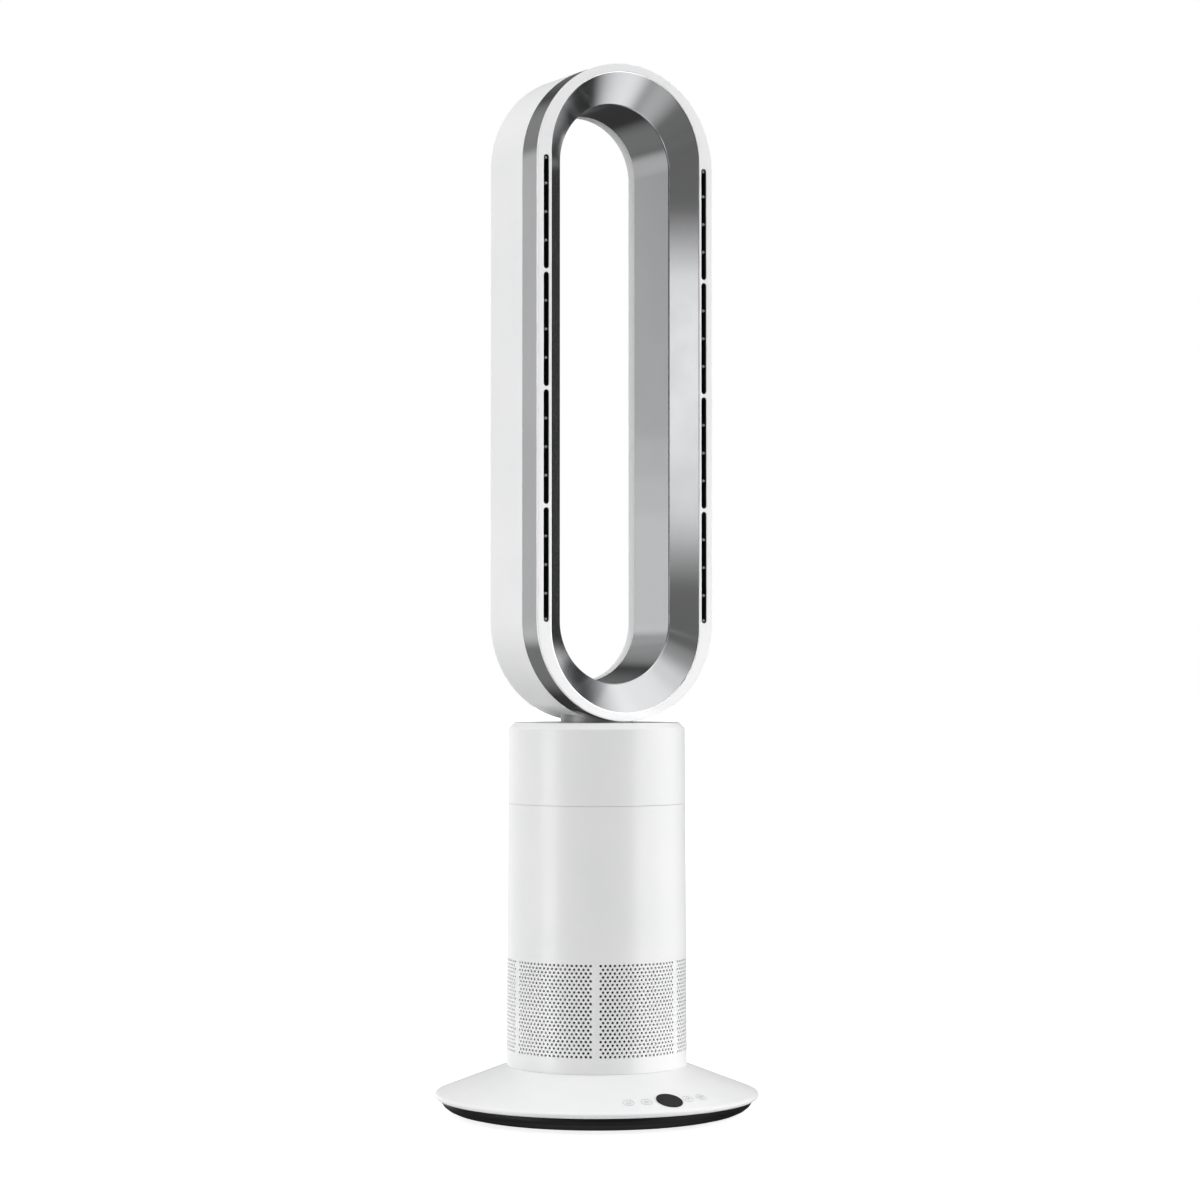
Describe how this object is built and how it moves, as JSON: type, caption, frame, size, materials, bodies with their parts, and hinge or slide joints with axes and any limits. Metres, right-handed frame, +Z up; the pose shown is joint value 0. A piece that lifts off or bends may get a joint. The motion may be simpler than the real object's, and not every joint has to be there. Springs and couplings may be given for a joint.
{
  "type": "bladeless tower fan",
  "caption": "Bladeless tower fan: tall hollow air ring with slotted front rim on a turning collar, over a perforated round intake column and a wide shallow conical base.",
  "frame": {"origin": "on the floor plane under the column's axis, at the underside of the feet", "axes": "+Z up along the column, the front of the fan faces -Y, +X is to the viewer's right when facing the front"},
  "size_m": [0.298, 0.298, 0.9599],
  "materials": {
    "aluminium": "die cast",
    "ballast_steel": "blackened steel plate",
    "black_gloss": "polished black window",
    "black_plastic": "fine satin black",
    "board_green": "solder mask",
    "brass_pin": "plated contact pin",
    "copper_winding": "enamelled copper winding",
    "grey_plastic": "moulded mid grey",
    "grey_print": "faint grey print",
    "rubber": "soft dark rubber",
    "silver_finish": "satin metallic silver lacquer on plastic",
    "steel": "zinc plated",
    "white_acetal": "natural acetal, slightly waxy",
    "white_plastic": "moulded white, soft gloss"
  },
  "bodies": {
    "base": {"rubber_feet": "rubber", "base_plinth": "black_plastic", "base_screws": "steel", "ballast_plate": "ballast_steel", "ballast_screws": "steel", "base_cover": "white_plastic", "display_window": "black_gloss", "touch_icons": "grey_print", "control_board": "board_green", "display_module": "grey_plastic", "main_board": "board_green", "board_capacitors": "black_plastic", "board_screws": "steel", "power_inlet": "black_plastic", "inlet_pin": "brass_pin", "cable_grommet": "rubber", "intake_shell": "white_plastic", "column_screws": "steel", "inlet_bellmouth": "grey_plastic", "vibration_mounts": "rubber", "impeller_housing": "grey_plastic", "motor_bucket": "grey_plastic", "bucket_cap": "grey_plastic", "motor_stator": "copper_winding", "motor_can": "aluminium", "motor_bearings": "steel", "outlet_cone": "grey_plastic", "turntable_plate": "grey_plastic", "turntable_screws": "steel", "glide_ring": "white_acetal", "ring_gear": "white_acetal"},
    "rotor": {"impeller": "black_plastic", "impeller_nut": "steel", "motor_rotor": "steel"},
    "head": {"turntable_disc": "grey_plastic", "retaining_ring": "steel", "oscillation_motor": "steel", "oscillation_motor_screws": "steel", "upper_collar": "white_plastic", "collar_screws": "steel", "neck_duct": "silver_finish", "neck_screws": "steel", "top_cap": "white_plastic", "neck_seal": "rubber", "neck_clamp": "aluminium", "flow_splitter": "grey_plastic", "ring_rear_shell": "white_plastic", "ring_band": "silver_finish", "ring_liner": "silver_finish", "ring_front_rim": "white_plastic", "outlet_nozzles": "black_plastic"},
    "pinion": {"oscillation_pinion": "white_acetal", "pinion_shaft": "steel"}
  },
  "joints": [
    {"name": "head_turn", "type": "hinge", "parent": "base", "child": "head", "pos_m": [0, 0, 0.285], "axis": [0, 0, 1], "range_deg": [-40, 40]},
    {"name": "impeller_spin", "type": "hinge", "parent": "base", "child": "rotor", "pos_m": [0, 0, 0.22], "axis": [0, 0, 1], "continuous": true},
    {"name": "pinion_spin", "type": "hinge", "parent": "head", "child": "pinion", "pos_m": [0, 0.057, 0.2815], "axis": [0, 0, 1], "range_deg": [-260, 260]}
  ],
  "couplings": [
    {"joint": "pinion_spin", "follows": "head_turn", "ratio": -6.4286}
  ]
}
